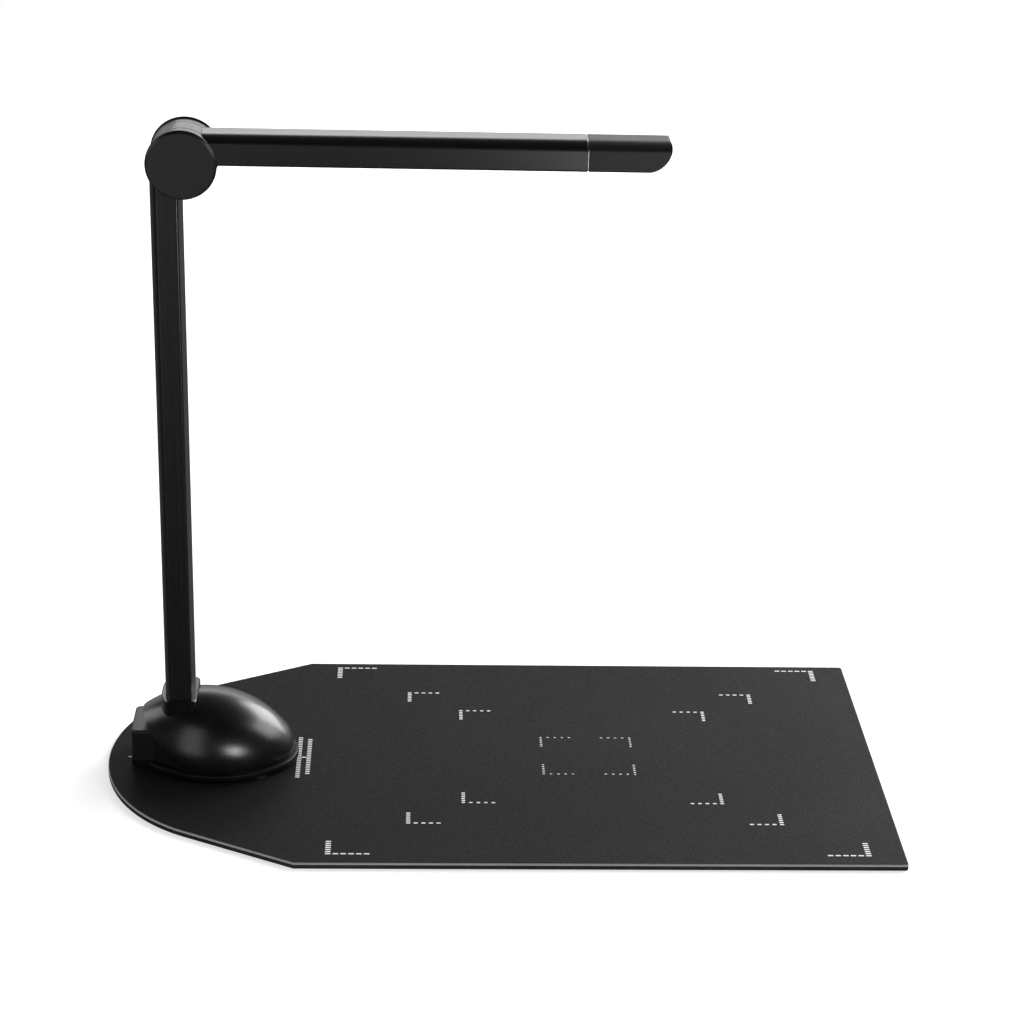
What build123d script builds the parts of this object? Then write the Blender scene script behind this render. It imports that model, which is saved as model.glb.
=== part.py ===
from build123d import *
import math
import os

# A folding document camera on its work mat, for reading A4, A5 and A6 pages from above.
#
# Frame, in millimetres: the origin is under the middle of the mat, +X runs along the open
# arm, +Y across the mat and +Z up. A raked or crowned form is named where it is made.

# ---- work mat -----------------------------------------------------------------------
MAT_LENGTH = 444.0
MAT_WIDTH = 224.0
MAT_NOSE_RADIUS = 91.0  # rounded end, under the camera base
MAT_TAPER_X = -110.5  # where the parallel sides turn in towards the nose
MAT_CORNER = 2.0
BACKING_THICK = 2.4
LEATHERETTE_THICK = 1.2
LEATHERETTE_EDGE = 0.8  # rolled top edge
MAT_TOP = BACKING_THICK + LEATHERETTE_THICK

# ---- base plate and feet ------------------------------------------------------------
BASE_X = -159.0  # middle of the oval plate
PLATE_HALF_LENGTH = 46.0
PLATE_HALF_WIDTH = 32.0
PLATE_END_RADIUS = 24.0
PLATE_THICK = 4.2
PLATE_EDGE = 1.6
FOOT_RADIUS = 5.0
FOOT_HEIGHT = 0.8  # how far the rubber stands out below the plate
FOOT_RECESS = 0.8
FOOT_PLACES = [(-135.0, 22.0), (-135.0, -22.0), (-194.0, 11.0), (-194.0, -11.0)]
PLATE_LOW = MAT_TOP + FOOT_HEIGHT
PLATE_TOP = PLATE_LOW + PLATE_THICK

# ---- dome: a turned oval, tilted, and cut off by a raked plane at the back ------------
DOME_X = -162.3
DOME_Z = MAT_TOP + 11.5
DOME_HALF_LENGTH = 47.5
DOME_RADIUS = 30.0
DOME_END_RADIUS = 19.0  # round of both ends of the oval
DOME_TILT = 9.0  # degrees; the front end dips
DOME_WALL = 2.4
RAKE_FOOT_X = -179.0  # where the rake meets the plate
RAKE_SLOPE = 24.0 / 28.0  # how far the rake leans back for each millimetre up
SOFFIT_THICK = 2.0
BOSS_PLACES = [(-128.0, 13.0), (-128.0, -13.0), (-166.0, 23.0), (-166.0, -23.0)]
BOSS_RADIUS = 3.2
RIB_HEIGHT = 2.2

# ---- rear housing, under the overhang of the dome ------------------------------------
HOUSING_HALF_LENGTH = 41.0
HOUSING_HALF_WIDTH = 28.0
HOUSING_END_RADIUS = 21.0
HOUSING_WALL = 2.0
PORT_BACK_X = -207.5
PORT_FRONT_X = -190.0
PORT_HALF_WIDTH = 15.0
PORT_TOP = MAT_TOP + 24.0
PORT_CORNER = 3.0
PORT_EDGE = 1.2

# ---- small parts behind the back wall ------------------------------------------------
SOCKET_Y = -5.0
SOCKET_WIDTH = 7.7
SOCKET_HEIGHT = 3.9
SOCKET_DEPTH = 9.2
SOCKET_SHELL = 0.35
BOARD_THICK = 1.6
SOCKET_BOARD_Z = PLATE_TOP + 3.0
BUTTON_Y = 6.5
BUTTON_Z = SOCKET_BOARD_Z + BOARD_THICK + 4.3
BUTTON_RADIUS = 3.0
BUTTON_PROUD = 0.9
BUTTON_TRAVEL = 0.6
BUTTON_GAP = 0.25

# ---- one extruded section for mast, arm and camera head --------------------------------
BODY_WIDTH = 26.0
BODY_DEPTH = 15.5
BODY_CORNER = 1.2  # edges of the flat inner face
CROWN_RADIUS = 12.6  # rounds that fall from the crown to the sides
CROWN_FLAT = 8.8  # width of the level strip along the crown
CROWN_BLEND = 2.4
TUBE_WALL = 1.6
FIT = 0.1  # slip clearance all round a plug

# ---- elbow ------------------------------------------------------------------------------
ELBOW_X = -170.5
ELBOW_Z = MAT_TOP + 357.0
KNUCKLE_RADIUS = 17.8
COPE_RADIUS = 18.1  # hollow end of each tube round the knuckle
MAST_SET_BACK = 1.9  # inner face of the mast behind the hinge line
ARM_DROP = 0.6  # inner face of the arm below the hinge line
BARREL_HALF = 5.95
WASHER_THICK = 0.5
CHEEK_IN = BARREL_HALF + WASHER_THICK + 0.05
CHEEK_OUT = 12.9
PIN_RADIUS = 4.0
PIN_HEAD_RADIUS = 7.0
PIN_RUNNING = 0.05
CAP_RADIUS = 18.6
CAP_IN = 13.2
CAP_OUT = 15.4
CAP_BEVEL = 1.5

MAST_INNER_X = ELBOW_X - MAST_SET_BACK
ARM_UNDER_Z = ELBOW_Z - ARM_DROP

# ---- mast and its foot --------------------------------------------------------------------
FOOT_FLANGE_THICK = 4.0
FOOT_FLANGE = (16.0, 36.0)
FOOT_SCREW_Y = 15.3
MAST_LOW = PLATE_TOP + FOOT_FLANGE_THICK
PLUG_LENGTH = 26.0
COLLAR_WALL = 2.5
COLLAR_LOW = MAT_TOP + 29.0
COLLAR_TOP = MAT_TOP + 43.2

# ---- camera head ----------------------------------------------------------------------------
SEAM_X = 39.9
SEAM_GAP = 0.5
HEAD_END_X = 83.8
HEAD_NOSE_RADIUS = 13.5
HEAD_BROW_RADIUS = 1.5
HEAD_WALL = 1.6
COVER_X = (44.0, 69.4)
COVER_HALF_WIDTH = 10.6
COVER_THICK = 1.6
LENS_X = 63.5
LENS_RING_RADIUS = 4.9
LENS_RING_PROUD = 0.9
LENS_BARREL_RADIUS = 3.9
WINDOW_X = (48.6, 54.6)
WINDOW_HALF_WIDTH = 8.6
HEAD_SCREW_PLACES = [(45.9, 8.3), (45.9, -8.3), (67.2, 8.3), (67.2, -8.3)]
CAMERA_BOARD_Z = ARM_UNDER_Z + 9.0


# ---- helpers -----------------------------------------------------------------------------
def block(x, y, z):
    """Box from its limits along each axis, each a (low, high) pair."""
    middle = [(low + high) / 2 for low, high in (x, y, z)]
    size = [high - low for low, high in (x, y, z)]
    return Pos(*middle) * Box(*size)


def post(radius, place, low, high):
    """Upright cylinder at an (x, y) place."""
    x, y = place
    return Pos(x, y, (low + high) / 2) * Cylinder(radius, high - low)


def disc(radius, low, high, x=ELBOW_X, z=ELBOW_Z):
    """Cylinder along Y, about the hinge line unless told otherwise."""
    return Pos(x, (low + high) / 2, z) * Rot(90, 0, 0) * Cylinder(radius, high - low)


def disc_x(radius, low, high, y, z):
    """Cylinder along X."""
    return Pos((low + high) / 2, y, z) * Rot(0, 90, 0) * Cylinder(radius, high - low)


def oval_top(half_length, half_width, end_radius):
    """Upper half of an oval as three tangent arcs, from the right tip to the left."""
    end_x = half_length - end_radius
    rise = half_width - end_radius
    depth = (end_x**2 - rise**2) / (2 * rise)  # centre of the long arc, below the axis
    lean = math.atan2(end_x, depth)
    swing = (math.pi / 2 - lean) / 2
    touch_x = end_x + end_radius * math.sin(lean)
    touch_y = end_radius * math.cos(lean)
    on_end_x = end_x + end_radius * math.cos(swing)
    on_end_y = end_radius * math.sin(swing)
    return [
        ThreePointArc((half_length, 0), (on_end_x, on_end_y), (touch_x, touch_y)),
        ThreePointArc((touch_x, touch_y), (0, half_width), (-touch_x, touch_y)),
        ThreePointArc((-touch_x, touch_y), (-on_end_x, on_end_y), (-half_length, 0)),
    ]


def oval_plate(half_length, half_width, end_radius, low, high, x=BASE_X):
    """Oval slab, about the middle of the base unless told otherwise."""
    top = oval_top(half_length, half_width, end_radius)
    bottom = [Rot(0, 0, 180) * arc for arc in top]
    return Pos(x, 0, low) * extrude(make_face(top + bottom), high - low)


def group(pieces):
    """Several separate solids that share one node."""
    return Compound(children=[piece.solid() for piece in pieces])


# ---- work mat -------------------------------------------------------------------------
def mat_outline():
    """Long sheet with two square corners, two tapered sides and a round nose."""
    half = MAT_WIDTH / 2
    end = MAT_LENGTH / 2
    nose_x = MAT_NOSE_RADIUS - end
    reach = math.hypot(MAT_TAPER_X - nose_x, half)
    angle = math.atan2(half, MAT_TAPER_X - nose_x) + math.acos(MAT_NOSE_RADIUS / reach)
    touch_x = nose_x + MAT_NOSE_RADIUS * math.cos(angle)
    touch_y = MAT_NOSE_RADIUS * math.sin(angle)
    sides = [
        Line((end, -half), (end, half)),
        Line((end, half), (MAT_TAPER_X, half)),
        Line((MAT_TAPER_X, half), (touch_x, touch_y)),
        ThreePointArc((touch_x, touch_y), (-end, 0), (touch_x, -touch_y)),
        Line((touch_x, -touch_y), (MAT_TAPER_X, -half)),
        Line((MAT_TAPER_X, -half), (end, -half)),
    ]
    outline = make_face(sides)
    return fillet(outline.vertices().sort_by(Axis.X)[-2:], MAT_CORNER)


def mat_backing():
    return extrude(mat_outline(), BACKING_THICK)


def mat_leatherette():
    sheet = Pos(0, 0, BACKING_THICK) * extrude(mat_outline(), LEATHERETTE_THICK)
    rim = sheet.faces().sort_by(Axis.Z)[-1].edges()
    return fillet(rim, LEATHERETTE_EDGE)


# ---- base ------------------------------------------------------------------------------
def egg(grow=0.0):
    """The dome's oval turned about its long axis, then grown or shrunk all round."""
    tip = DOME_HALF_LENGTH + grow
    arcs = oval_top(tip, DOME_RADIUS + grow, DOME_END_RADIUS + grow)
    turned = revolve(make_face([Line((-tip, 0), (tip, 0))] + arcs), Axis.X)
    return Pos(DOME_X, 0, DOME_Z) * Rot(0, DOME_TILT, 0) * turned


def rake_x(z, forward=0.0):
    """X of the raked plane at a height."""
    return RAKE_FOOT_X - RAKE_SLOPE * (z - PLATE_TOP) + forward


def raked_slab(back, front, low, high):
    """Space between two planes parallel to the rake, `back` and `front` ahead of it."""
    corners = [
        (rake_x(low, back), low),
        (rake_x(low, front), low),
        (rake_x(high, front), high),
        (rake_x(high, back), high),
    ]
    outline = make_face(Polyline(*corners, close=True))
    return extrude(Plane.XZ * outline, 60, both=True)


def body_profile(inset=0.0):
    """Section of mast, arm and head: X across, Y from the flat inner face to the crown."""
    half = BODY_WIDTH / 2 - inset
    flat = CROWN_FLAT / 2
    top = BODY_DEPTH - inset
    radius = CROWN_RADIUS - inset
    across = half - flat
    shoulder = top - radius + math.sqrt(radius**2 - across**2)
    lean = math.asin(across / radius) / 2
    halfway = (flat + radius * math.sin(lean), top - radius + radius * math.cos(lean))
    sides = [
        Line((-half, inset), (half, inset)),
        Line((half, inset), (half, shoulder)),
        ThreePointArc((half, shoulder), halfway, (flat, top)),
        Line((flat, top), (-flat, top)),
        ThreePointArc((-flat, top), (-halfway[0], halfway[1]), (-half, shoulder)),
        Line((-half, shoulder), (-half, inset)),
    ]
    section = make_face(sides)
    low = section.vertices().sort_by(Axis.Y)[:2]
    section = fillet(low, max(BODY_CORNER - inset, 0.3))
    sides_top = section.vertices().filter_by(lambda v: abs(v.Y - shoulder) < 0.01)
    return fillet(sides_top, max(CROWN_BLEND - inset, 0.5))


def along_mast(profile, low, high):
    plane = Plane(origin=(MAST_INNER_X, 0, low), x_dir=(0, 1, 0), z_dir=(0, 0, 1))
    return extrude(plane * profile, high - low)


def along_arm(profile, back, front):
    plane = Plane(origin=(back, 0, ARM_UNDER_Z), x_dir=(0, 1, 0), z_dir=(1, 0, 0))
    return extrude(plane * profile, front - back)


def port_outline(inset=0.0, low=PLATE_TOP, high=PORT_TOP):
    """Block behind the dome with rounded upright corners at the back."""
    body = block(
        (PORT_BACK_X + inset, PORT_FRONT_X),
        (inset - PORT_HALF_WIDTH, PORT_HALF_WIDTH - inset),
        (low, high),
    )
    corners = body.edges().filter_by(Axis.Z).sort_by(Axis.X)[:2]
    return fillet(corners, PORT_CORNER - inset)


def base_plate():
    sizes = (PLATE_HALF_LENGTH, PLATE_HALF_WIDTH, PLATE_END_RADIUS)
    plate = oval_plate(*sizes, PLATE_LOW, PLATE_TOP)
    plate = fillet(plate.faces().sort_by(Axis.Z)[-1].edges(), PLATE_EDGE)
    plate = chamfer(plate.faces().sort_by(Axis.Z)[0].edges(), 0.6)
    plate += port_outline(0.0, PLATE_LOW, PLATE_TOP)
    low, high = PLATE_TOP, PLATE_TOP + RIB_HEIGHT
    rib = oval_plate(40.2, 25.2, 17.6, low, high) - oval_plate(38.6, 23.6, 16.0, low, high)
    rib &= raked_slab(3, 90, low, high)
    for place in BOSS_PLACES:
        rib -= post(BOSS_RADIUS + 0.3, place, low, high)
    plate += rib
    for y in (-9.5, 9.5):
        plate += post(2.2, (-195.0, y), PLATE_TOP, SOCKET_BOARD_Z)
    for place in FOOT_PLACES:
        plate -= post(FOOT_RADIUS + FIT, place, PLATE_LOW, PLATE_LOW + FOOT_RECESS)
    for place in BOSS_PLACES:
        plate -= post(1.7, place, PLATE_LOW, PLATE_TOP)
        plate -= post(3.1, place, PLATE_LOW, PLATE_LOW + 2.2)
    for y in (-FOOT_SCREW_Y, FOOT_SCREW_Y):
        place = (MAST_INNER_X - BODY_DEPTH / 2, y)
        plate -= post(2.2, place, PLATE_LOW, PLATE_TOP)
        plate -= post(3.8, place, PLATE_LOW, PLATE_LOW + 2.6)
    return plate


def rubber_feet():
    pads = []
    for place in FOOT_PLACES:
        pad = post(FOOT_RADIUS, place, MAT_TOP, PLATE_LOW + FOOT_RECESS)
        pads.append(chamfer(pad.faces().sort_by(Axis.Z)[0].edges(), 0.3))
    return group(pads)


def base_dome():
    """Egg shell with a raked soffit behind, four screw bosses and the mast opening."""
    high = DOME_Z + 40
    shell = (egg() - egg(-DOME_WALL)) & raked_slab(0, 120, PLATE_TOP, high)
    soffit = egg(-0.4) & raked_slab(0, SOFFIT_THICK, PLATE_TOP, high)
    soffit -= housing_oval(HOUSING_WALL + 0.4, 0, 80)
    dome = shell + soffit
    for place in BOSS_PLACES:
        dome += post(BOSS_RADIUS, place, PLATE_TOP, high) & egg(-0.4)
    for place in BOSS_PLACES:
        dome -= post(1.6, place, PLATE_TOP, PLATE_TOP + 10)
    dome -= along_mast(body_profile(-COLLAR_WALL - 0.15), DOME_Z, high)
    return dome.solid()


def housing_oval(inset, low, high):
    """Plan of the rear housing's upright wall, drawn in by a distance."""
    sizes = (HOUSING_HALF_LENGTH, HOUSING_HALF_WIDTH, HOUSING_END_RADIUS)
    return oval_plate(*[size - inset for size in sizes], low, high)


def rear_housing():
    """Upright oval wall under the overhang, with the block that holds the socket."""
    top = DOME_Z + 30
    room = housing_oval(HOUSING_WALL, 0, 80)
    wall = housing_oval(0, PLATE_TOP, top) - room
    port = port_outline()
    port = fillet(port.faces().sort_by(Axis.Z)[-1].edges().sort_by(Axis.X)[:-1], PORT_EDGE)
    inside = port_outline(HOUSING_WALL, PLATE_TOP - 5, PORT_TOP - HOUSING_WALL)
    body = (wall - inside) + (port - inside - room)
    body &= raked_slab(-60, 0, PLATE_TOP, top)
    back = (PORT_BACK_X - 1, PORT_BACK_X + HOUSING_WALL + 1)
    socket_z = SOCKET_BOARD_Z + BOARD_THICK + SOCKET_HEIGHT / 2
    window = block(
        back,
        (SOCKET_Y - SOCKET_WIDTH / 2 - 0.3, SOCKET_Y + SOCKET_WIDTH / 2 + 0.3),
        (socket_z - SOCKET_HEIGHT / 2 - 0.3, socket_z + SOCKET_HEIGHT / 2 + 0.3),
    )
    body -= window
    body -= disc_x(BUTTON_RADIUS + BUTTON_GAP, *back, BUTTON_Y, BUTTON_Z)
    return body


def ballast_weight():
    """Cast iron weight that fills the front of the base round the screw bosses."""
    low, high = PLATE_TOP, PLATE_TOP + 10
    cast = oval_plate(23, 20, 17, low, high, -146)
    cast -= block((-200, -165), (-30, 30), (low, high))
    for place in BOSS_PLACES:
        cast -= post(BOSS_RADIUS + 1, place, low, high)
    return chamfer(cast.faces().sort_by(Axis.Z)[-1].edges(), 0.8)


def board_posts():
    places = [(x, y) for x in (-160.0, -137.0) for y in (-11.0, 11.0)]
    low = PLATE_TOP + 10
    return group([post(2.2, place, low, low + 3) for place in places])


def control_board():
    low = PLATE_TOP + 13
    board = block((-164, -133), (-15, 15), (low, low + BOARD_THICK))
    return fillet(board.edges().filter_by(Axis.Z), 2)


def board_chips():
    """Image processor, memory and the plug of the ribbon on the main board."""
    low = PLATE_TOP + 13 + BOARD_THICK
    return group([
        block((-152, -142), (-5, 5), (low, low + 1.2)),
        block((-140, -135), (-9, 1), (low, low + 1.0)),
        block((-163, -158), (-6, 6), (low, low + 3.0)),
    ])


def socket_board():
    board = block((-204.4, -191.5), (-12, 12), (SOCKET_BOARD_Z, SOCKET_BOARD_Z + BOARD_THICK))
    return fillet(board.edges().filter_by(Axis.Z), 1)


def usb_socket():
    """Small five-pin socket: a folded shell open at the back, with its contact tongue."""
    low = SOCKET_BOARD_Z + BOARD_THICK
    back = PORT_BACK_X + 0.6
    half = SOCKET_WIDTH / 2
    can = block((back, back + SOCKET_DEPTH), (SOCKET_Y - half, SOCKET_Y + half), (low, low + SOCKET_HEIGHT))
    keys = can.edges().filter_by(Axis.X).sort_by(Axis.Z)[:2]
    can = chamfer(keys, 0.9)
    mouth = block(
        (back, back + SOCKET_DEPTH - 1.5),
        (SOCKET_Y - half + SOCKET_SHELL, SOCKET_Y + half - SOCKET_SHELL),
        (low + SOCKET_SHELL, low + SOCKET_HEIGHT - SOCKET_SHELL),
    )
    mouth = chamfer(mouth.edges().filter_by(Axis.X).sort_by(Axis.Z)[:2], 0.8)
    tongue = block((back + 1.2, back + SOCKET_DEPTH - 1.4), (SOCKET_Y - 2.2, SOCKET_Y + 2.2), (low + 1.6, low + 2.3))
    return (can - mouth) + tongue


def lamp_switch():
    """Push switch for the lamps, lying on the small board."""
    low = SOCKET_BOARD_Z + BOARD_THICK
    front = PORT_BACK_X + HOUSING_WALL + 2.4
    body = block((front, front + 3.6), (BUTTON_Y - 3, BUTTON_Y + 3), (low, low + 6))
    return body + disc_x(1.6, front - 0.7, front, BUTTON_Y, BUTTON_Z)


def lamp_button():
    """Round cap that stands out of the back wall and is kept in by its flange."""
    inner = PORT_BACK_X + HOUSING_WALL
    cap = disc_x(BUTTON_RADIUS, PORT_BACK_X - BUTTON_PROUD, inner + 0.9, BUTTON_Y, BUTTON_Z)
    cap = fillet(cap.faces().sort_by(Axis.X)[0].edges(), 0.5)
    return cap + disc_x(BUTTON_RADIUS + 0.9, inner + 0.1, inner + 0.9, BUTTON_Y, BUTTON_Z)


def screw(radius, head_radius, head, place, low, high):
    """Upright pan-head screw, its head below with a cross recess."""
    shank = post(radius, place, low + head, high)
    cap = post(head_radius, place, low, low + head)
    x, y = place
    slot = head_radius * 0.6
    cap -= block((x - slot, x + slot), (y - 0.4, y + 0.4), (low, low + head / 2))
    cap -= block((x - 0.4, x + 0.4), (y - slot, y + slot), (low, low + head / 2))
    return shank + cap


def base_screws():
    low = PLATE_LOW + 0.2
    return group([screw(1.5, 2.8, 1.9, place, low, PLATE_TOP + 9) for place in BOSS_PLACES])


# ---- mast --------------------------------------------------------------------------------
def foot_centre():
    return MAST_INNER_X - BODY_DEPTH / 2


def mast_foot():
    """Flange on the base plate with the plug that the mast slips over."""
    half_x, half_y = FOOT_FLANGE[0] / 2, FOOT_FLANGE[1] / 2
    middle = foot_centre()
    foot = block((middle - half_x, middle + half_x), (-half_y, half_y), (PLATE_TOP, MAST_LOW))
    foot = fillet(foot.edges().filter_by(Axis.Z), 4)
    foot += along_mast(body_profile(TUBE_WALL + FIT), MAST_LOW, MAST_LOW + PLUG_LENGTH)
    foot -= block((middle - 3, middle + 3), (-6, 6), (PLATE_TOP, MAST_LOW + PLUG_LENGTH))
    for y in (-FOOT_SCREW_Y, FOOT_SCREW_Y):
        foot -= post(2.1, (middle, y), PLATE_TOP, MAST_LOW)
    return foot


def foot_screws():
    low = PLATE_LOW + 0.2
    places = [(foot_centre(), y) for y in (-FOOT_SCREW_Y, FOOT_SCREW_Y)]
    return group([screw(2.0, 3.5, 2.2, place, low, MAST_LOW - 0.3) for place in places])


def mast_collar():
    """Trim ring that closes the dome round the mast."""
    ring = along_mast(body_profile(-COLLAR_WALL), COLLAR_LOW, COLLAR_TOP)
    ring = chamfer(ring.faces().sort_by(Axis.Z)[-1].edges(), 0.6)
    return ring - along_mast(body_profile(-FIT), COLLAR_LOW, COLLAR_TOP)


def mast_tube():
    """Crowned tube, its top end coped to the round of the elbow."""
    tube = along_mast(body_profile(), MAST_LOW, ELBOW_Z)
    tube -= along_mast(body_profile(TUBE_WALL), MAST_LOW, ELBOW_Z)
    return tube - disc(COPE_RADIUS, -20, 20)


def mast_wiring():
    middle = foot_centre()
    low = MAST_LOW + PLUG_LENGTH + 1
    high = ELBOW_Z - KNUCKLE_RADIUS - PLUG_LENGTH - 1
    return block((middle - 0.5, middle + 0.5), (-4, 4), (low, high))


def mast_fork():
    """Two cheeks of the elbow and the plug that holds them in the mast."""
    low = ELBOW_Z - KNUCKLE_RADIUS - PLUG_LENGTH
    fork = along_mast(body_profile(TUBE_WALL + FIT), low, ELBOW_Z - 4)
    fork -= disc(COPE_RADIUS, -CHEEK_IN, CHEEK_IN)
    for low_y, high_y in ((-CHEEK_OUT, -CHEEK_IN), (CHEEK_IN, CHEEK_OUT)):
        fork += disc(KNUCKLE_RADIUS, low_y, high_y)
    middle = foot_centre()
    fork -= block((middle - 2, middle + 2), (-5, 5), (low, ELBOW_Z))
    fork -= disc(PIN_RADIUS + 0.02, -20, 20)
    fork -= disc(PIN_HEAD_RADIUS + 0.2, -CHEEK_OUT, -9.2)
    fork -= disc(PIN_HEAD_RADIUS + 1.2, 9.0, CHEEK_OUT)
    for low_y, high_y in ((-CHEEK_OUT, -10.9), (10.9, CHEEK_OUT)):
        fork -= disc(16.4, low_y, high_y) - disc(13.0, low_y, high_y)
    return fork


# ---- elbow hardware ----------------------------------------------------------------------
def hinge_pin():
    """Shoulder bolt, put in from the front."""
    pin = disc(PIN_RADIUS, -9.2, 12.4)
    head = disc(PIN_HEAD_RADIUS, -12.6, -9.2)
    socket = Pos(ELBOW_X, -12.6, ELBOW_Z) * Rot(90, 0, 0) * extrude(RegularPolygon(2.9, 6), -2)
    return pin + head - socket


def friction_washers():
    rings = []
    for low_y in (-BARREL_HALF - WASHER_THICK, BARREL_HALF):
        high_y = low_y + WASHER_THICK
        rings.append(disc(12, low_y, high_y) - disc(PIN_RADIUS + 0.1, low_y, high_y))
    return group(rings)


def spring_washer():
    """Dished washer that keeps the friction washers loaded."""
    section = make_face(Polyline((4.2, 9.0), (7.4, 9.35), (7.4, 9.85), (4.2, 9.5), close=True))
    ring = revolve(Plane.XY * section, Axis.Y, 360)
    return Pos(ELBOW_X, 0, ELBOW_Z) * ring


def hinge_nut():
    low, high = 9.9, 12.3
    hexagon = extrude(RegularPolygon(7.4, 6), high - low)
    nut = Pos(ELBOW_X, high, ELBOW_Z) * Rot(90, 0, 0) * hexagon
    return nut - disc(PIN_RADIUS + 0.03, low, high)


def elbow_cap(side):
    """Bevelled cover with a ring that snaps into the cheek; side is -1 or 1."""
    low, high = sorted((side * CAP_IN, side * CAP_OUT))
    cap = disc(CAP_RADIUS, low, high)
    outer = cap.faces().sort_by(Axis.Y)[0 if side < 0 else -1]
    cap = chamfer(outer.edges(), CAP_BEVEL)
    low, high = sorted((side * 11.1, side * CAP_IN))
    return cap + (disc(16.2, low, high) - disc(13.2, low, high))


def elbow_cap_front():
    return elbow_cap(-1)


def elbow_cap_rear():
    return elbow_cap(1)


# ---- arm ---------------------------------------------------------------------------------
def arm_knuckle():
    """Middle barrel of the elbow and the plug that carries the arm tube."""
    end = ELBOW_X + KNUCKLE_RADIUS + PLUG_LENGTH
    plug = along_arm(body_profile(TUBE_WALL + FIT), ELBOW_X + 4, end)
    web = plug & block((ELBOW_X, end), (-BARREL_HALF, BARREL_HALF), (ELBOW_Z - 20, ELBOW_Z + 20))
    body = disc(KNUCKLE_RADIUS, -BARREL_HALF, BARREL_HALF) + web
    body += plug - disc(COPE_RADIUS + 0.2, -20, 20)
    middle = ARM_UNDER_Z + BODY_DEPTH / 2
    body -= block((ELBOW_X + 19, end), (-5, 5), (middle - 2, middle + 2))
    return body - disc(6.0, -20, 20)


def hinge_bush():
    ring = disc(5.98, -BARREL_HALF, BARREL_HALF)
    return ring - disc(PIN_RADIUS + PIN_RUNNING, -BARREL_HALF, BARREL_HALF)


def arm_tube():
    """Crowned tube, coped at the elbow and chamfered at the seam with the head."""
    tube = along_arm(body_profile(), ELBOW_X, SEAM_X)
    tube = chamfer(tube.faces().sort_by(Axis.X)[-1].edges(), 0.4)
    tube -= along_arm(body_profile(TUBE_WALL), ELBOW_X, SEAM_X)
    return tube - disc(COPE_RADIUS, -20, 20)


def arm_wiring():
    back = ELBOW_X + KNUCKLE_RADIUS + PLUG_LENGTH + 1
    middle = ARM_UNDER_Z + BODY_DEPTH / 2
    return block((back, SEAM_X + 2), (-4, 4), (middle - 0.5, middle + 0.5))


def head_spigot():
    """Sleeve inside the seam that joins the head to the arm."""
    sleeve = along_arm(body_profile(TUBE_WALL + FIT), SEAM_X - 14, SEAM_X + 3.6)
    middle = ARM_UNDER_Z + BODY_DEPTH / 2
    passage = block((SEAM_X - 20, SEAM_X + 20), (-9, 9), (middle - 3.5, middle + 3.5))
    return sleeve - fillet(passage.edges().filter_by(Axis.X), 1.5)


def head_side(inset=0.0):
    """Side view of the head, extruded across: the end turns up in one large round."""
    back, front = SEAM_X - 5, HEAD_END_X - inset
    low, high = ARM_UNDER_Z + inset, ARM_UNDER_Z + BODY_DEPTH - inset
    nose, brow = HEAD_NOSE_RADIUS - inset, max(HEAD_BROW_RADIUS - inset, 0.2)
    half_turn = math.sqrt(0.5)
    sides = [
        Line((back, low), (front - nose, low)),
        ThreePointArc(
            (front - nose, low),
            (front - nose + nose * half_turn, low + nose - nose * half_turn),
            (front, low + nose),
        ),
        Line((front, low + nose), (front, high - brow)),
        ThreePointArc(
            (front, high - brow),
            (front - brow + brow * half_turn, high - brow + brow * half_turn),
            (front - brow, high),
        ),
        Line((front - brow, high), (back, high)),
        Line((back, high), (back, low)),
    ]
    return extrude(Plane.XZ * make_face(sides), 30, both=True)


def head_shell():
    """Camera head moulding, open at the seam and underneath."""
    back = SEAM_X + SEAM_GAP
    outer = along_arm(body_profile(), back, HEAD_END_X + 1)
    outer = chamfer(outer.faces().sort_by(Axis.X)[0].edges(), 0.3)
    outer &= head_side()
    inner = along_arm(body_profile(HEAD_WALL), back - 1, HEAD_END_X) & head_side(HEAD_WALL)
    shell = outer - inner
    opening = block(
        (COVER_X[0] - FIT, COVER_X[1] + FIT),
        (-COVER_HALF_WIDTH - FIT, COVER_HALF_WIDTH + FIT),
        (ARM_UNDER_Z - 1, ARM_UNDER_Z + COVER_THICK + 0.5),
    )
    shell -= opening
    for x, y in HEAD_SCREW_PLACES:
        pillar = post(1.9, (x, y), ARM_UNDER_Z + COVER_THICK + 0.05, ARM_UNDER_Z + BODY_DEPTH - 1)
        pillar &= along_arm(body_profile(0.6), back, HEAD_END_X)
        shell += pillar
        shell -= post(0.9, (x, y), ARM_UNDER_Z, ARM_UNDER_Z + 8)
    return shell


def head_cover():
    """Flush underside panel with the lens hole, the lamp window and four screw holes."""
    low, high = ARM_UNDER_Z, ARM_UNDER_Z + COVER_THICK
    panel = block(COVER_X, (-COVER_HALF_WIDTH, COVER_HALF_WIDTH), (low, high))
    panel = fillet(panel.edges().filter_by(Axis.Z), 1.0)
    panel -= post(LENS_RING_RADIUS + 0.02, (LENS_X, 0), low, high)
    panel -= block(
        (WINDOW_X[0] - FIT, WINDOW_X[1] + FIT),
        (-WINDOW_HALF_WIDTH - FIT, WINDOW_HALF_WIDTH + FIT),
        (low, high),
    )
    for place in HEAD_SCREW_PLACES:
        panel -= post(0.95, place, low, high)
        panel -= post(1.7, place, low, low + 0.8)
    return panel


def head_screws():
    low = ARM_UNDER_Z + 0.05
    return group([screw(0.85, 1.55, 0.7, place, low, low + 6) for place in HEAD_SCREW_PLACES])


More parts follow.
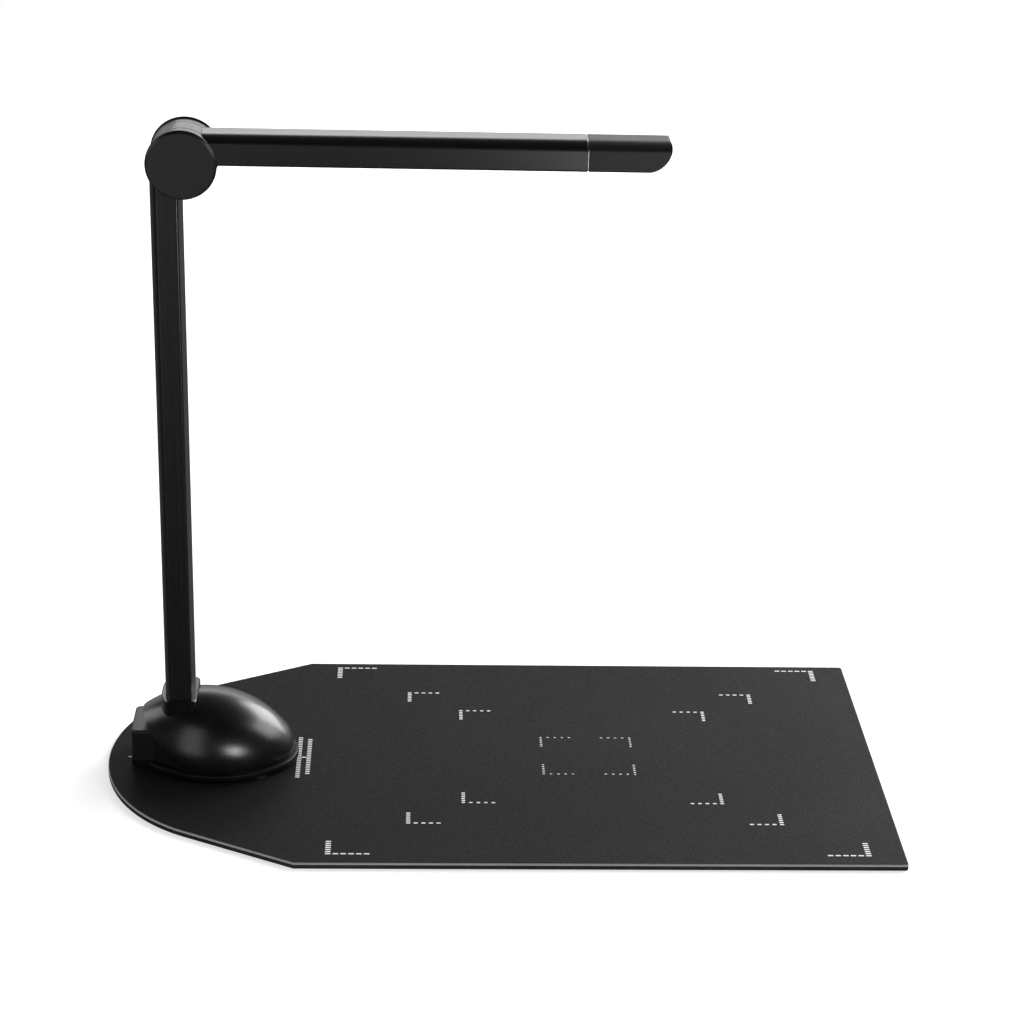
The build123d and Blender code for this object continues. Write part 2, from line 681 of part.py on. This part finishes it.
# ---- camera and lamps ----------------------------------------------------------------------
def lens_ring():
    """Bezel round the lens, standing out below the head, with a conical mouth."""
    low, high = ARM_UNDER_Z - LENS_RING_PROUD, ARM_UNDER_Z + 2.6
    ring = post(LENS_RING_RADIUS, (LENS_X, 0), low, high)
    ring = fillet(ring.faces().sort_by(Axis.Z)[0].edges(), 0.4)
    ring -= post(LENS_BARREL_RADIUS + 0.05, (LENS_X, 0), low + 1.2, high)
    mouth = Pos(LENS_X, 0, low + 0.6) * Cone(4.3, 3.4, 1.2)
    return ring - mouth


def lens_barrel():
    """Threaded holder between the sensor and the bezel."""
    low, high = ARM_UNDER_Z + 0.35, CAMERA_BOARD_Z - 1.4
    barrel = post(LENS_BARREL_RADIUS, (LENS_X, 0), low, high)
    return barrel - post(3.2, (LENS_X, 0), low, high)


def lens_glass():
    """Front element: a plano-convex disc, its crown facing down."""
    low, high = ARM_UNDER_Z + 0.7, ARM_UNDER_Z + 2.4
    rim, rise = 3.15, 0.8
    radius = (rim**2 + rise**2) / (2 * rise)
    disc_part = post(rim, (LENS_X, 0), low, high)
    return disc_part & (Pos(LENS_X, 0, low + radius) * Sphere(radius))


def image_sensor():
    high = CAMERA_BOARD_Z
    return block((LENS_X - 3.6, LENS_X + 3.6), (-3.6, 3.6), (high - 1.2, high))


def camera_board():
    board = block((57.5, 69.5), (-9.5, 9.5), (CAMERA_BOARD_Z, CAMERA_BOARD_Z + 1.0))
    board = fillet(board.edges().filter_by(Axis.Z), 1)
    for place in HEAD_SCREW_PLACES:
        board -= post(2.1, place, CAMERA_BOARD_Z, CAMERA_BOARD_Z + 1.0)
    return board


def led_board():
    low = ARM_UNDER_Z + 5.0
    return block((47.9, 55.3), (-9.4, 9.4), (low, low + 1.0))


def leds():
    high = ARM_UNDER_Z + 5.0
    places = [(51.6, y) for y in (-6.0, -2.0, 2.0, 6.0)]
    return group([
        block((x - 1.4, x + 1.4), (y - 1.4, y + 1.4), (high - 1.0, high)) for x, y in places
    ])


def led_window():
    """Frosted pane over the lamps, with the lip that keeps it in the panel."""
    low, high = ARM_UNDER_Z, ARM_UNDER_Z + COVER_THICK
    pane = block(WINDOW_X, (-WINDOW_HALF_WIDTH, WINDOW_HALF_WIDTH), (low, high))
    lip = block(
        (WINDOW_X[0] - 0.7, WINDOW_X[1] + 0.7),
        (-WINDOW_HALF_WIDTH - 0.7, WINDOW_HALF_WIDTH + 0.7),
        (high, high + 0.8),
    )
    return pane + lip


NODES = [
    mat_backing, mat_leatherette,
    base_plate, rubber_feet, base_dome, rear_housing, ballast_weight, board_posts,
    control_board, board_chips, socket_board, usb_socket, lamp_switch, lamp_button, base_screws,
    mast_foot, foot_screws, mast_collar, mast_tube, mast_wiring, mast_fork,
    hinge_pin, friction_washers, spring_washer, hinge_nut, elbow_cap_front, elbow_cap_rear,
    arm_knuckle, hinge_bush, arm_tube, arm_wiring, head_spigot, head_shell, head_cover,
    head_screws, lens_ring, lens_barrel, lens_glass, image_sensor, camera_board, led_board,
    leds, led_window,
]

os.makedirs("parts", exist_ok=True)
for node in NODES:
    export_step(node(), f"parts/{node.__name__}.step")
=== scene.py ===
import math

import bmesh
import bpy
from mathutils import Matrix, Vector
from mathutils.geometry import convex_hull_2d


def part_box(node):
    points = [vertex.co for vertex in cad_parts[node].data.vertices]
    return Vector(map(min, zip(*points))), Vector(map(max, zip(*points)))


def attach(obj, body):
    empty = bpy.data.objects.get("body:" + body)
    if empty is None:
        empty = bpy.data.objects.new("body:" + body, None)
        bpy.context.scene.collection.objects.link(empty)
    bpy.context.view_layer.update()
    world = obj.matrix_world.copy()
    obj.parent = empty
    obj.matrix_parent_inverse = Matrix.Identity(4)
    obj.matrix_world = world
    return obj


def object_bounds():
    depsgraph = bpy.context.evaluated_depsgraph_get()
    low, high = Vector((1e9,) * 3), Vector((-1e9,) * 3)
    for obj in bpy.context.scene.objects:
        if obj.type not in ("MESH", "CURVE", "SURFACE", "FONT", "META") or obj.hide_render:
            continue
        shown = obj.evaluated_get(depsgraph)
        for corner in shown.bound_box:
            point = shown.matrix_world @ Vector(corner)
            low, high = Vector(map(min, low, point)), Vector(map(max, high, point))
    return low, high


# A folding document camera on its work mat: finishes, printed marks, lights and camera.
# Lengths are in metres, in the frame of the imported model.

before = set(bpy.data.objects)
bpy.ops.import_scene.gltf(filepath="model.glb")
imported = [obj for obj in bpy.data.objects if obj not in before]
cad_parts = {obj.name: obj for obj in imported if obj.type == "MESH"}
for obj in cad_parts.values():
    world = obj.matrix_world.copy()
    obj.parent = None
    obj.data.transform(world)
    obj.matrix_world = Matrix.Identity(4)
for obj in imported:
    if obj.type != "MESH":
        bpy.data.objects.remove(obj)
cad_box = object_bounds()

MM = 0.001
MAT_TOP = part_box("mat_leatherette")[1].z

# ---- printed marks, in millimetres ------------------------------------------------------
# sheet length and width, dashes along each corner, ticks down it, and how long a dash is
SHEETS = (
    (297, 210, 5, 7, 3.1),
    (210, 148, 4, 6, 2.4),
    (148, 105, 4, 6, 2.1),
    (54, 42, 4, 6, 1.4),
)
SHEETS_CENTRE = (54.5, 1.5)
DASH_STEP = 4.2
TICK_STEP = 2.0
LINE_WIDTH = 1.15
INK = 0.04  # thickness of the ink
CORNER_SHARE = 0.2  # how much of a dash's width its clipped corners take
FINE_DASH = 2.0  # dashes shorter than this are also thinner
FINE_SHARE = 0.7
STAND_BARS = ((-112.7, 20, -24), (-107.2, 18, -20))  # x, then where each bar starts and ends
STAND_LINK = (-109.9, -2.0)
STAND_TICK = 2.6
REAR_TICK = (-209.5, -2.3)

# ---- camera ---------------------------------------------------------------------------
CAMERA_PLACE = Vector((-0.049, -1.180, 0.700))
CAMERA_PITCH = 0.385  # below level, radians
CAMERA_YAW = 0.0455  # towards +X
CAMERA_ROLL = 0.029
CAMERA_LENS = 82.0
CAMERA_SHIFT = -0.10

# ---- ring behind the lens, and trim in the arm's seam ------------------------------------
BAFFLE_STEPS = 5
BAFFLE_STEP = 0.22 * MM
BAFFLE_RISE = 0.16 * MM
BAFFLE_WIDE = 0.65 * MM  # from the glass's rim to the ring's outside
BAFFLE_LAP = 0.1 * MM  # height above the bottom of the glass
END_BAND = 0.05 * MM  # points this near the arm's end belong to its outline
TRIM_GAP = 0.04 * MM  # from the trim to the arm's end and to the head
TRIM_INSET = 0.1 * MM
TRIM_DEEP = 0.9 * MM
TRIM_STEP = 0.03 * MM  # nearer points of the outline count as one

# ---- light ------------------------------------------------------------------------------
FLOOR_GLOW = 0.55
FLOOR_REACH = 1.45  # from the middle to each edge
# the surroundings that light the object: height or depth where a fade starts and stops,
# and its level at each end
OVERHEAD_FADE = (0.32, 0.6, 0.9, 0.02)
GROUND_FADE = (-0.12, -0.02, 0.14, 1.0)
FRONT_FADE = (-0.2, 0.5, 0.08, 0.85)
# each light: place, where it points, width and height, power, shape
LIGHTS = {
    "back": ((0.15, 1.9, 1.0), (0, 0, 0.15), (1.6, 0.6), 7, "RECTANGLE"),
    "back right": ((1.35, 1.35, 1.1), (-0.1, 0, 0.1), (1.4, 1.2), 45, "RECTANGLE"),
    "right": ((1.7, 0.1, 1.1), (0, 0, 0.1), (1.1, 1.0), 15, "RECTANGLE"),
    "left": ((-1.7, 0.5, 1.1), (0, 0, 0.1), (1.0, 1.0), 8, "RECTANGLE"),
    "left front": ((-0.62, -1.20, 0.42), (-0.17, 0, 0.05), (0.55, 1.5), 2.7, "RECTANGLE"),
    "low front": ((0.37, -1.10, 0.05), (-0.14, 0, 0.02), (0.32, 0.32), 3.7, "DISK"),
}


# ---- shader arithmetic ------------------------------------------------------------------
class Value:
    """A number that changes over a surface, used in ordinary arithmetic."""

    def __init__(self, tree, socket):
        self.tree, self.socket = tree, socket

    def worked(self, operation, first, second):
        node = self.tree.nodes.new("ShaderNodeMath")
        node.operation = operation
        plug(self.tree, node.inputs[0], first)
        plug(self.tree, node.inputs[1], second)
        return Value(self.tree, node.outputs[0])

    def __add__(self, other):
        return self.worked("ADD", self, other)

    def __radd__(self, other):
        return self.worked("ADD", other, self)

    def __sub__(self, other):
        return self.worked("SUBTRACT", self, other)

    def __rsub__(self, other):
        return self.worked("SUBTRACT", other, self)

    def __mul__(self, other):
        return self.worked("MULTIPLY", self, other)

    def __rmul__(self, other):
        return self.worked("MULTIPLY", other, self)


def plug(tree, socket, item):
    """Sets a socket from a number, a colour or another node's output."""
    if isinstance(item, Value):
        tree.links.new(item.socket, socket)
    else:
        socket.default_value = item


class Finish:
    """One material and the nodes that make it."""

    def __init__(self, name, colour, roughness, fixed=None):
        self.material = bpy.data.materials.new(name)
        self.material.use_nodes = True
        self.tree = self.material.node_tree
        self.shader = self.tree.nodes["Principled BSDF"]
        for label, value in (fixed or {}).items():
            self.shader.inputs[label].default_value = value
        self.place = self.node("TexCoord", output="Object")
        self.set("Base Color", colour)
        self.set("Roughness", roughness)

    def set(self, label, value):
        plug(self.tree, self.shader.inputs[label], value)

    def node(self, kind, settings=None, inputs=None, output=0):
        node = self.tree.nodes.new("ShaderNode" + kind)
        for label, value in (settings or {}).items():
            setattr(node, label, value)
        for label, value in (inputs or {}).items():
            plug(self.tree, node.inputs[label], value)
        return Value(self.tree, node.outputs[output])

    def ramp(self, value, low, high):
        """0 below one value, 1 above the other, smooth between them."""
        return self.node(
            "MapRange",
            {"interpolation_type": "SMOOTHSTEP"},
            {"Value": value, "From Min": low, "From Max": high},
        )

    def stretched(self, x, y, z):
        """Place on the object, scaled by its own amount along each axis."""
        return self.node("Mapping", inputs={"Vector": self.place, "Scale": (x, y, z)})

    def noise(self, scale, detail=2.0, vector=None):
        """Cloudy pattern about 0.5, its spots about 1/scale metres across."""
        return self.node(
            "TexNoise",
            inputs={"Vector": vector or self.place, "Scale": scale, "Detail": detail},
        )

    def cells(self, scale, feature):
        """Height of a pattern of cells, 1/scale metres across."""
        return self.node(
            "TexVoronoi", {"feature": feature}, {"Vector": self.place, "Scale": scale}
        )

    def tint(self, factor, first, second):
        """Colour between two, by a value from 0 to 1."""
        return self.node(
            "Mix", {"data_type": "RGBA"}, {0: factor, 6: first, 7: second}, output=2
        )

    def relief(self, height, depth):
        """Raises the surface by height times depth, in metres."""
        bumped = self.node("Bump", inputs={"Height": height, "Distance": depth})
        self.set("Normal", bumped)
        return self.material


def grey(level):
    return (level, level, level, 1.0)


def darker(colour, share):
    """A colour at a share of its brightness."""
    return tuple(part * share for part in colour[:3]) + (1.0,)


# ---- finishes --------------------------------------------------------------------------
def leatherette():
    """Embossed sheet: soft irregular pebbles with fine creases painted darker as shade, and a
    painted highlight along the rolled edge.
    """
    finish = Finish("leatherette", grey(0.02), 0.5, {"Specular IOR Level": 0.11})
    speckle = finish.noise(700, 2)
    raised = finish.ramp(finish.cells(820, "DISTANCE_TO_EDGE"), 0.02, 0.32)
    drift = finish.ramp(finish.noise(9, 3), 0.35, 0.65)
    # pebble tops lighter and creases darker by the cell height: painted shade in the creases;
    # drift and speckle are random tone
    tone = raised * 0.55 + drift * 0.25 + speckle * 0.2
    face = finish.tint(tone, grey(0.007), grey(0.015))
    facing = finish.node("TexCoord", output="Normal")
    upward = finish.node("SeparateXYZ", inputs={"Vector": facing}, output="Z")
    # painted highlight: faces turned away from straight up, which is the rolled edge, are
    # tinted pale grey
    painted_edge_highlight = finish.ramp(upward, 0.98, 0.8)
    finish.set("Base Color", finish.tint(painted_edge_highlight, face, grey(0.3)))
    finish.set("Roughness", 0.6 - raised * 0.1 + drift * 0.05)
    return finish.relief(raised + speckle * 0.5, 0.00006)


def rubber(name, level, pitch):
    """Matt rubber with a woven-looking pressed pattern."""
    finish = Finish(name, grey(level), 0.75, {"Specular IOR Level": 0.35})
    dust = finish.ramp(finish.noise(120, 4), 0.4, 0.75)
    speck = finish.cells(pitch, "F1")
    finish.set("Base Color", finish.tint(dust, grey(level), grey(level * 1.7)))
    finish.set("Roughness", 0.7 + dust * 0.12)
    return finish.relief(speck, 0.00012)


def gloss_moulding(name, level, roughness, gloss=0.5):
    """Polished moulding: faint flow ripple, and handling haze in the gloss."""
    finish = Finish(name, grey(level), roughness, {"Specular IOR Level": gloss})
    haze = finish.ramp(finish.noise(35, 4), 0.45, 0.8)
    ripple = finish.noise(160, 2)
    finish.set("Base Color", finish.tint(haze, grey(level), grey(level * 1.25)))
    finish.set("Roughness", roughness + haze * 0.05)
    return finish.relief(ripple, 0.00004)


def spark_moulding(name, level, roughness, gloss=0.45):
    """Moulding from a spark-eroded tool: an even, very fine pitted texture."""
    finish = Finish(name, grey(level), roughness, {"Specular IOR Level": gloss})
    pits = finish.cells(2600, "SMOOTH_F1")
    cloud = finish.noise(45, 3)
    finish.set("Base Color", finish.tint(cloud, grey(level * 0.85), grey(level * 1.2)))
    finish.set("Roughness", roughness + cloud * 0.06)
    return finish.relief(pits, 0.00005)


def drawn_tube(name, level, roughness, along):
    """Satin paint over an extrusion; along is the tube's axis, where die lines run."""
    finish = Finish(name, grey(level), roughness, {"Specular IOR Level": 0.55})
    stretch = [3.0 if axis == along else 900.0 for axis in range(3)]
    lines = finish.noise(1.0, 3, finish.stretched(*stretch))
    peel = finish.noise(900, 2)
    finish.set("Base Color", finish.tint(lines, grey(level * 0.85), grey(level * 1.15)))
    finish.set("Roughness", roughness + (lines - 0.5) * 0.1)
    return finish.relief(lines * 0.6 + peel * 0.4, 0.00002)


def painted_casting(name, level, roughness):
    """Satin paint with orange peel, over a casting whose tone drifts a little."""
    finish = Finish(name, grey(level), roughness, {"Specular IOR Level": 0.5})
    peel = finish.noise(700, 3)
    patch = finish.noise(60, 3)
    finish.set("Base Color", finish.tint(patch, grey(level * 0.8), grey(level * 1.3)))
    finish.set("Roughness", roughness + patch * 0.08)
    return finish.relief(peel, 0.00004)


def bare_metal(name, colour, roughness, scale):
    """Plated or cast metal with fine scratches and duller patches."""
    finish = Finish(name, colour, roughness, {"Metallic": 1.0})
    patch = finish.noise(scale, 4)
    scratch = finish.noise(1.0, 2, finish.stretched(4000, 300, 300))
    finish.set("Base Color", finish.tint(patch, colour, darker(colour, 0.7)))
    finish.set("Roughness", roughness + patch * 0.15)
    return finish.relief(scratch * 0.5 + patch * 0.5, 0.00003)


def plain_moulding(name, colour, roughness):
    """Light-coloured resin with slight cloudiness."""
    finish = Finish(name, colour, roughness)
    cloud = finish.noise(300, 3)
    finish.set("Base Color", finish.tint(cloud, colour, darker(colour, 0.82)))
    finish.set("Roughness", roughness + cloud * 0.08)
    return finish.relief(cloud, 0.00002)


def circuit_board():
    """Solder mask over copper, whose tracks show as slightly lighter lanes."""
    finish = Finish("solder mask", (0.02, 0.12, 0.05, 1), 0.35, {"Coat Weight": 0.3})
    lanes = finish.cells(450, "DISTANCE_TO_EDGE")
    track = 1.0 - finish.ramp(lanes, 0.05, 0.09)
    bare, lane = (0.01, 0.07, 0.03, 1), (0.03, 0.17, 0.07, 1)
    finish.set("Base Color", finish.tint(track, bare, lane))
    finish.set("Roughness", 0.3 + track * 0.15)
    return finish.relief(track, 0.00003)


def optic(name, colour, roughness, clear):
    """Glass or clear acrylic; the surface has only a breath of unevenness."""
    fixed = {"Transmission Weight": clear, "IOR": 1.5, "Coat Weight": 0.5}
    finish = Finish(name, colour, roughness, fixed)
    film = finish.noise(220, 2)
    finish.set("Base Color", finish.tint(film, colour, darker(colour, 0.75)))
    finish.set("Roughness", roughness + film * 0.04)
    return finish.relief(film, 0.000005)


def ink():
    """Screen-printed white, a little broken where it sits on the grain."""
    finish = Finish("screen print", grey(0.6), 0.5)
    broken = finish.ramp(finish.noise(1600, 3), 0.25, 0.5)
    worn = finish.noise(70, 2)
    cover = broken * 0.7 + worn * 0.5
    finish.set("Base Color", finish.tint(cover, grey(0.5), grey(0.95)))
    finish.set("Roughness", 0.5 + worn * 0.1)
    return finish.relief(broken, 0.00002)


def floor_paint():
    """Pale floor with a little light of its own, so that it stays even."""
    finish = Finish("studio floor", grey(0.86), 0.8, {"Specular IOR Level": 0.1})
    cloud = finish.noise(1.5, 3)
    finish.set("Base Color", finish.tint(cloud, grey(0.88), grey(0.84)))
    finish.set("Emission Color", grey(1.0))
    finish.set("Emission Strength", FLOOR_GLOW)
    return finish.relief(finish.noise(300, 2), 0.00001)


def dress():
    """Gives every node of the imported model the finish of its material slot."""
    X, Z = 0, 2
    finishes = {
        "mat_backing": rubber("mat rubber", 0.012, 700),
        "mat_leatherette": leatherette(),
        "base_plate": gloss_moulding("base gloss", 0.003, 0.42, 0.15),
        "rubber_feet": rubber("foot rubber", 0.008, 1500),
        "base_dome": gloss_moulding("dome gloss", 0.004, 0.27, 0.75),
        "rear_housing": spark_moulding("housing texture", 0.008, 0.26),
        "ballast_weight": bare_metal("cast iron", grey(0.12), 0.6, 300),
        "board_posts": plain_moulding("nylon", (0.75, 0.73, 0.68, 1), 0.4),
        "control_board socket_board camera_board led_board": circuit_board(),
        "board_chips lamp_switch": spark_moulding("chip epoxy", 0.02, 0.5),
        "usb_socket": bare_metal("plated sheet", (0.62, 0.62, 0.6, 1), 0.25, 900),
        "lamp_button": gloss_moulding("button satin", 0.03, 0.3),
        "base_screws foot_screws head_screws spring_washer hinge_pin hinge_nut": bare_metal(
            "zinc plate", grey(0.45), 0.32, 700
        ),
        "mast_foot head_spigot": bare_metal("die casting", (0.45, 0.45, 0.46, 1), 0.45, 400),
        "mast_collar": gloss_moulding("collar gloss", 0.005, 0.18),
        "mast_tube": drawn_tube("mast paint", 0.008, 0.28, Z),
        "arm_tube": drawn_tube("arm paint", 0.009, 0.3, X),
        "mast_wiring arm_wiring": rubber("cable sheath", 0.02, 2500),
        "mast_fork arm_knuckle": painted_casting("elbow paint", 0.01, 0.3),
        "hinge_bush": bare_metal("sintered bronze", (0.55, 0.36, 0.16, 1), 0.4, 1500),
        "friction_washers": plain_moulding("washer resin", (0.7, 0.68, 0.6, 1), 0.4),
        "elbow_cap_front elbow_cap_rear": spark_moulding("cap satin", 0.013, 0.3),
        "head_shell head_cover": spark_moulding("head satin", 0.013, 0.42, 0.32),
        "lens_ring lens_barrel": gloss_moulding("lens ring gloss", 0.01, 0.14),
        "lens_glass": optic("lens glass", (0.5, 0.55, 0.75, 1), 0.01, 0.9),
        "image_sensor": optic("sensor glass", (0.1, 0.12, 0.14, 1), 0.05, 0.2),
        "leds": plain_moulding("lamp phosphor", (0.9, 0.82, 0.35, 1), 0.3),
        "led_window": optic("frosted window", (0.85, 0.87, 0.9, 1), 0.38, 0.6),
    }
    for names, material in finishes.items():
        for name in names.split():
            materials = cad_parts[name].data.materials
            materials.clear()
            materials.append(material)


# ---- mesh work ---------------------------------------------------------------------------
def piece(name, mesh, body, material):
    """Turns a bmesh into a named piece that rides on a body."""
    bmesh.ops.recalc_face_normals(mesh, faces=mesh.faces)
    data = bpy.data.meshes.new(name)
    mesh.to_mesh(data)
    mesh.free()
    made = bpy.data.objects.new(name, data)
    bpy.context.scene.collection.objects.link(made)
    data.materials.append(material)
    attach(made, body)
    return made


def add_dash(mesh, x, y, long, wide):
    """A thin printed dash with clipped corners, its middle at (x, y)."""
    sunk, top = MAT_TOP - INK * MM, MAT_TOP + INK * MM
    rings = []
    for z, inset in ((sunk, 0.0), (top, INK)):
        half_x, half_y = long / 2 - inset, wide / 2 - inset
        clip = wide * CORNER_SHARE
        ring = []
        for side_x, side_y in ((1, 1), (-1, 1), (-1, -1), (1, -1)):
            on_end = (side_x * half_x, side_y * (half_y - clip))
            on_side = (side_x * (half_x - clip), side_y * half_y)
            pair = (on_end, on_side) if side_x == side_y else (on_side, on_end)
            ring += [mesh.verts.new(((x + a) * MM, (y + b) * MM, z)) for a, b in pair]
        rings.append(ring)
    low, high = rings
    mesh.faces.new(high)
    mesh.faces.new(low[::-1])
    for index in range(len(low)):
        after = (index + 1) % len(low)
        mesh.faces.new((low[index], low[after], high[after], high[index]))


def sheet_marks():
    """Four corners of each paper size: dashes along the mat and a bar of ticks across it."""
    mesh = bmesh.new()
    for length, width, dashes, ticks, dash in SHEETS:
        thin = LINE_WIDTH * (FINE_SHARE if dash < FINE_DASH else 1.0)
        for side_x in (-1, 1):
            for side_y in (-1, 1):
                x = SHEETS_CENTRE[0] + side_x * (length - dash) / 2
                y = SHEETS_CENTRE[1] + side_y * (width - thin) / 2
                for count in range(1, dashes + 1):
                    add_dash(mesh, x - side_x * count * DASH_STEP, y, dash, thin)
                for count in range(ticks):
                    add_dash(mesh, x, y - side_y * count * TICK_STEP, dash, thin)
    return piece("sheet_marks", mesh, "mat", ink())


def stand_marks():
    """Two bars of ticks and a link that show where the stand goes, and a tick behind it."""
    mesh = bmesh.new()
    for x, start, end in STAND_BARS:
        for count in range(int((start - end) / TICK_STEP) + 1):
            add_dash(mesh, x, start - count * TICK_STEP, STAND_TICK, LINE_WIDTH)
    add_dash(mesh, *STAND_LINK, STAND_TICK, LINE_WIDTH)
    add_dash(mesh, *REAR_TICK, STAND_TICK, LINE_WIDTH)
    return piece("stand_marks", mesh, "mat", ink())


def turned(mesh, profile, centre, around=64):
    """Closed ring about a vertical axis, from a loop of (radius, z) points."""
    rings = []
    for step in range(around):
        angle = 2 * math.pi * step / around
        rings.append([
            mesh.verts.new((
                centre.x + radius * math.cos(angle),
                centre.y + radius * math.sin(angle),
                z,
            ))
            for radius, z in profile
        ])
    for step in range(around):
        ring, after = rings[step], rings[(step + 1) % around]
        for index in range(len(profile)):
            other = (index + 1) % len(profile)
            mesh.faces.new((ring[index], ring[other], after[other], after[index]))


def lens_baffle():
    """Stepped anti-glare ring between the bezel's mouth and the front glass."""
    low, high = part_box("lens_glass")
    centre = (low + high) / 2
    outside = (high.x - low.x) / 2 + BAFFLE_WIDE
    top = low.z + BAFFLE_LAP
    profile = [(outside, top)]
    for count in range(BAFFLE_STEPS, 0, -1):
        radius = outside - (BAFFLE_STEPS + 1 - count) * BAFFLE_STEP
        height = top - count * BAFFLE_RISE
        profile += [(radius + BAFFLE_STEP, height), (radius, height)]
    mesh = bmesh.new()
    turned(mesh, profile, centre)
    black = spark_moulding("baffle black", 0.006, 0.55)
    return piece("lens_baffle", mesh, "arm", black)


def seam_trim():
    """Bright band in the seam between the arm and the head, following their section."""
    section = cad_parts["arm_tube"]
    low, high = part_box("arm_tube")
    corners = [section.matrix_world @ corner.co for corner in section.data.vertices]
    ends = [Vector((at.y, at.z)) for at in corners if high.x - at.x < END_BAND]
    outline = []
    for index in convex_hull_2d(ends):
        if all((ends[index] - at).length > TRIM_STEP for at in outline):
            outline.append(ends[index])
    middle = Vector(((low.y + high.y) / 2, (low.z + high.z) / 2))
    half = Vector(((high.y - low.y) / 2, (high.z - low.z) / 2))
    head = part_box("head_shell")[0].x
    mesh = bmesh.new()
    rings = []
    for x, inset in (
        (high.x + TRIM_GAP, TRIM_INSET),
        (head - TRIM_GAP, TRIM_INSET),
        (head - TRIM_GAP, TRIM_DEEP),
        (high.x + TRIM_GAP, TRIM_DEEP),
    ):
        shrink = Vector((1 - inset / half.x, 1 - inset / half.y))
        inset_points = [middle + (at - middle) * shrink for at in outline]
        rings.append([mesh.verts.new((x, point.x, point.y)) for point in inset_points])
    for index, ring in enumerate(rings):
        other = rings[(index + 1) % len(rings)]
        for step in range(len(outline)):
            after = (step + 1) % len(outline)
            mesh.faces.new((ring[step], ring[after], other[after], other[step]))
    bright = bare_metal("trim metal", grey(0.5), 0.3, 900)
    return piece("seam_trim", mesh, "arm", bright)


# ---- studio ------------------------------------------------------------------------------
def studio_floor():
    """Square floor under the object, at the bottom of the model."""
    mesh = bmesh.new()
    bmesh.ops.create_grid(mesh, x_segments=8, y_segments=8, size=FLOOR_REACH)
    data = bpy.data.meshes.new("floor")
    mesh.to_mesh(data)
    mesh.free()
    floor = bpy.data.objects.new("floor", data)
    floor.location.z = cad_box[0].z
    bpy.context.scene.collection.objects.link(floor)
    data.materials.append(floor_paint())
    floor.visible_glossy = False  # gloss sees the even surroundings instead


def softbox(name, place, target, size, power, shape):
    """Area light at a place, facing a target."""
    light = bpy.data.lights.new(name, "AREA")
    light.shape = shape
    light.size, light.size_y = size
    light.energy = power
    lamp = bpy.data.objects.new(name, light)
    lamp.location = place
    lamp.rotation_euler = (Vector(target) - Vector(place)).to_track_quat("-Z", "Y").to_euler()
    bpy.context.scene.collection.objects.link(lamp)


def fade(tree, value, settings):
    """Smooth change between two levels, as a value goes from one number to another."""
    ease = tree.nodes.new("ShaderNodeMapRange")
    ease.interpolation_type = "SMOOTHSTEP"
    plug(tree, ease.inputs["Value"], value)
    for label, number in zip(("From Min", "From Max", "To Min", "To Max"), settings):
        ease.inputs[label].default_value = number
    return Value(tree, ease.outputs[0])


def studio_light():
    """A pale backdrop that is bright behind the object, and soft lights round it."""
    world = bpy.data.worlds.new("studio")
    world.use_nodes = True
    tree = world.node_tree
    direction = tree.nodes.new("ShaderNodeTexCoord").outputs["Generated"]
    parts = tree.nodes.new("ShaderNodeSeparateXYZ")
    tree.links.new(direction, parts.inputs[0])
    height, depth = Value(tree, parts.outputs["Z"]), Value(tree, parts.outputs["Y"])
    level = fade(tree, height, OVERHEAD_FADE) * fade(tree, height, GROUND_FADE)
    level = level * fade(tree, depth, FRONT_FADE)
    seen = Value(tree, tree.nodes.new("ShaderNodeLightPath").outputs["Is Camera Ray"])
    background = tree.nodes["Background"]
    background.inputs["Color"].default_value = grey(1.0)
    plug(tree, background.inputs["Strength"], level * (1 - seen) + seen)
    bpy.context.scene.world = world
    for name, settings in LIGHTS.items():
        softbox(name, *settings)
    bpy.context.scene.view_settings.view_transform = "Standard"


def studio_camera():
    """Long lens, from the front and above, tipped down to the object."""
    view = bpy.data.cameras.new("camera")
    view.lens = CAMERA_LENS
    view.shift_y = CAMERA_SHIFT
    camera = bpy.data.objects.new("camera", view)
    turn = Matrix.Rotation(-CAMERA_YAW, 3, "Z")
    tip = Matrix.Rotation(math.pi / 2 - CAMERA_PITCH, 3, "X")
    roll = Matrix.Rotation(CAMERA_ROLL, 3, "Z")
    camera.matrix_world = Matrix.LocRotScale(CAMERA_PLACE, (turn @ tip @ roll).to_euler(), None)
    bpy.context.scene.collection.objects.link(camera)
    bpy.context.scene.camera = camera


dress()
sheet_marks()
stand_marks()
lens_baffle()
seam_trim()
studio_floor()
studio_light()
studio_camera()
